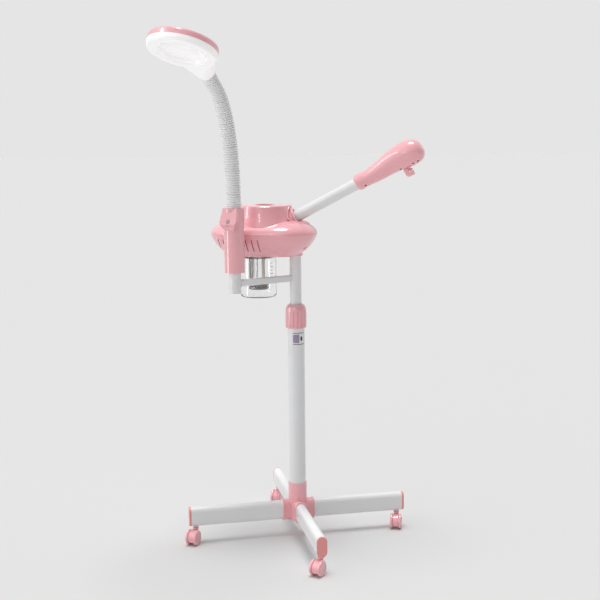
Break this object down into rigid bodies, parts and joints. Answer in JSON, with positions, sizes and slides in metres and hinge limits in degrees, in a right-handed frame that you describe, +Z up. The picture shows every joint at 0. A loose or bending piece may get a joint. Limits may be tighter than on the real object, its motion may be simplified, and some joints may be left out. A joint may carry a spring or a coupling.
{
  "type": "facial steamer with magnifying lamp",
  "caption": "Rolling facial steamer on a height-adjustable column, with a turning steam arm and a ring-lit magnifying lamp on a gooseneck.",
  "frame": {"origin": "on the floor, under the middle of the whole outline at rest", "axes": "+Z up, +X the way the steam arm points, +Y towards the side of the head with the switch and the mains inlet"},
  "size_m": [0.5726, 0.6121, 1.2184],
  "materials": {
    "pink_plastic": "gloss",
    "white_paint": "satin",
    "white_plastic": "satin",
    "diffuser": "matte",
    "grey_plastic": "satin",
    "led_board": "satin",
    "clear_glass": "polished",
    "lens_glass": "polished",
    "steel": "brushed",
    "black_plastic": "matte",
    "silicone": "satin",
    "sensor_plastic": "satin",
    "circuit_board": "satin"
  },
  "bodies": {
    "stand": {"hub": "pink_plastic", "leg_1": "white_paint", "leg_2": "white_paint", "leg_3": "white_paint", "leg_4": "white_paint", "leg_caps": "pink_plastic", "caster_stems": "steel", "lower_pole": "white_paint", "lock_insert": "steel"},
    "caster_1": {"caster_hood_1": "pink_plastic"},
    "roller_1_left": {"wheel_1_left": "pink_plastic"},
    "roller_1_right": {"wheel_1_right": "pink_plastic"},
    "caster_2": {"caster_hood_2": "pink_plastic"},
    "roller_2_left": {"wheel_2_left": "pink_plastic"},
    "roller_2_right": {"wheel_2_right": "pink_plastic"},
    "caster_3": {"caster_hood_3": "pink_plastic"},
    "roller_3_left": {"wheel_3_left": "pink_plastic"},
    "roller_3_right": {"wheel_3_right": "pink_plastic"},
    "caster_4": {"caster_hood_4": "pink_plastic"},
    "roller_4_left": {"wheel_4_left": "pink_plastic"},
    "roller_4_right": {"wheel_4_right": "pink_plastic"},
    "collar": {"lock_collar": "pink_plastic"},
    "glide": {"glide_plug": "black_plastic"},
    "column": {"upper_pole": "white_paint", "lamp_bracket": "white_paint", "pole_socket": "pink_plastic", "lower_shell": "pink_plastic", "upper_shell": "pink_plastic", "arm_socket": "pink_plastic", "well_cup": "pink_plastic", "boiler_cap": "white_plastic", "jar_gasket": "silicone", "heater_coil": "steel", "electrode_rods": "steel", "level_sensor": "sensor_plastic", "steam_hose": "silicone", "control_board": "circuit_board", "mains_inlet": "black_plastic", "shell_screws": "steel"},
    "jar": {"glass_jar": "clear_glass"},
    "steam_rocker": {"steam_switch": "black_plastic"},
    "arm": {"arm_tube": "white_paint", "nozzle_housing": "pink_plastic", "nozzle_cover": "pink_plastic", "steam_duct": "silicone", "nozzle_screws": "steel"},
    "spout": {"steam_spout": "pink_plastic"},
    "lamp_base": {"lamp_sleeve": "pink_plastic"},
    "light_button": {"light_switch": "grey_plastic"},
    "neck_1": {"gooseneck_1": "white_plastic"},
    "neck_2": {"gooseneck_2": "white_plastic"},
    "neck_3": {"gooseneck_3": "white_plastic"},
    "neck_4": {"gooseneck_4": "white_plastic"},
    "neck_5": {"gooseneck_5": "white_plastic"},
    "neck_6": {"gooseneck_6": "white_plastic", "lamp_housing": "white_plastic", "lamp_cover": "pink_plastic", "magnifier_lens": "lens_glass", "led_ring": "led_board", "light_diffuser": "diffuser"}
  },
  "joints": [
    {"name": "caster_1_swivel", "type": "hinge", "parent": "stand", "child": "caster_1", "pos_m": [0.21694, 0.14755, 0.034], "axis": [0, 0, 1], "continuous": true},
    {"name": "wheel_1_left_spin", "type": "hinge", "parent": "caster_1", "child": "roller_1_left", "pos_m": [0.20672, 0.13137, 0.0185], "axis": [0.9998, 0.0175, 0], "continuous": true},
    {"name": "wheel_1_right_spin", "type": "hinge", "parent": "caster_1", "child": "roller_1_right", "pos_m": [0.22772, 0.13173, 0.0185], "axis": [0.9998, 0.0175, 0], "continuous": true},
    {"name": "caster_2_swivel", "type": "hinge", "parent": "stand", "child": "caster_2", "pos_m": [-0.11885, 0.28664, 0.034], "axis": [0, 0, 1], "continuous": true},
    {"name": "wheel_2_left_spin", "type": "hinge", "parent": "caster_2", "child": "roller_2_left", "pos_m": [-0.13122, 0.27204, 0.0185], "axis": [0.9925, -0.1219, 0], "continuous": true},
    {"name": "wheel_2_right_spin", "type": "hinge", "parent": "caster_2", "child": "roller_2_right", "pos_m": [-0.11038, 0.26948, 0.0185], "axis": [0.9925, -0.1219, 0], "continuous": true},
    {"name": "caster_3_swivel", "type": "hinge", "parent": "stand", "child": "caster_3", "pos_m": [-0.25794, -0.04915, 0.034], "axis": [0, 0, 1], "continuous": true},
    {"name": "wheel_3_left_spin", "type": "hinge", "parent": "caster_3", "child": "roller_3_left", "pos_m": [-0.27081, -0.06331, 0.0185], "axis": [0.9877, -0.1564, 0], "continuous": true},
    {"name": "wheel_3_right_spin", "type": "hinge", "parent": "caster_3", "child": "roller_3_right", "pos_m": [-0.25007, -0.0666, 0.0185], "axis": [0.9877, -0.1564, 0], "continuous": true},
    {"name": "caster_4_swivel", "type": "hinge", "parent": "stand", "child": "caster_4", "pos_m": [0.07785, -0.18824, 0.034], "axis": [0, 0, 1], "continuous": true},
    {"name": "wheel_4_left_spin", "type": "hinge", "parent": "caster_4", "child": "roller_4_left", "pos_m": [0.06292, -0.20021, 0.0185], "axis": [0.9511, -0.309, 0], "continuous": true},
    {"name": "wheel_4_right_spin", "type": "hinge", "parent": "caster_4", "child": "roller_4_right", "pos_m": [0.08289, -0.2067, 0.0185], "axis": [0.9511, -0.309, 0], "continuous": true},
    {"name": "collar_turn", "type": "hinge", "parent": "stand", "child": "collar", "pos_m": [-0.0205, 0.0492, 0.55], "axis": [0, 0, 1], "range_deg": [0, 90]},
    {"name": "column_height", "type": "slide", "parent": "stand", "child": "glide", "axis": [0, 0, 1], "range_m": [-0.05, 0.3]},
    {"name": "column_turn", "type": "hinge", "parent": "glide", "child": "column", "pos_m": [-0.0205, 0.0492, 0.479], "axis": [0, 0, 1], "range_deg": [-180, 180]},
    {"name": "jar_drop", "type": "slide", "parent": "column", "child": "jar", "axis": [0, 0, 1], "range_m": [-0.13, 0]},
    {"name": "steam_rocker_tilt", "type": "hinge", "parent": "column", "child": "steam_rocker", "pos_m": [-0.1225, 0.1332, 0.746], "axis": [1, 0, 0], "range_deg": [-8, 8]},
    {"name": "arm_roll", "type": "hinge", "parent": "column", "child": "arm", "pos_m": [-0.03327, 0.0492, 0.78976], "axis": [0.8838, 0, 0.4679], "range_deg": [-180, 180]},
    {"name": "spout_turn", "type": "hinge", "parent": "arm", "child": "spout", "pos_m": [0.2447, 0.0492, 0.91657], "axis": [-0.4679, 0, 0.8838], "range_deg": [-180, 180]},
    {"name": "lamp_swing", "type": "hinge", "parent": "column", "child": "lamp_base", "pos_m": [-0.1425, -0.0678, 0.735], "axis": [0, 0, 1], "range_deg": [-180, 180]},
    {"name": "light_button_press", "type": "slide", "parent": "lamp_base", "child": "light_button", "axis": [0.2273, 0.9115, -0.3428], "range_m": [0, 0.0015], "stiffness_N_per_m": 500, "springref_m": -0.001},
    {"name": "neck_bend_1", "type": "hinge", "parent": "lamp_base", "child": "neck_1", "pos_m": [-0.1425, -0.0678, 0.83], "axis": [0.9272, -0.3746, 0], "range_deg": [-20, 12]},
    {"name": "neck_bend_2", "type": "hinge", "parent": "neck_1", "child": "neck_2", "pos_m": [-0.14322, -0.06958, 0.88497], "axis": [0.9272, -0.3746, 0], "range_deg": [-20, 12]},
    {"name": "neck_bend_3", "type": "hinge", "parent": "neck_2", "child": "neck_3", "pos_m": [-0.14502, -0.07402, 0.93976], "axis": [0.9272, -0.3746, 0], "range_deg": [-20, 12]},
    {"name": "neck_bend_4", "type": "hinge", "parent": "neck_3", "child": "neck_4", "pos_m": [-0.14824, -0.082, 0.99408], "axis": [0.9272, -0.3746, 0], "range_deg": [-20, 12]},
    {"name": "neck_bend_5", "type": "hinge", "parent": "neck_4", "child": "neck_5", "pos_m": [-0.15392, -0.09606, 1.04695], "axis": [0.9272, -0.3746, 0], "range_deg": [-20, 12]},
    {"name": "neck_bend_6", "type": "hinge", "parent": "neck_5", "child": "neck_6", "pos_m": [-0.16359, -0.12, 1.09551], "axis": [0.9272, -0.3746, 0], "range_deg": [-20, 12]}
  ]
}
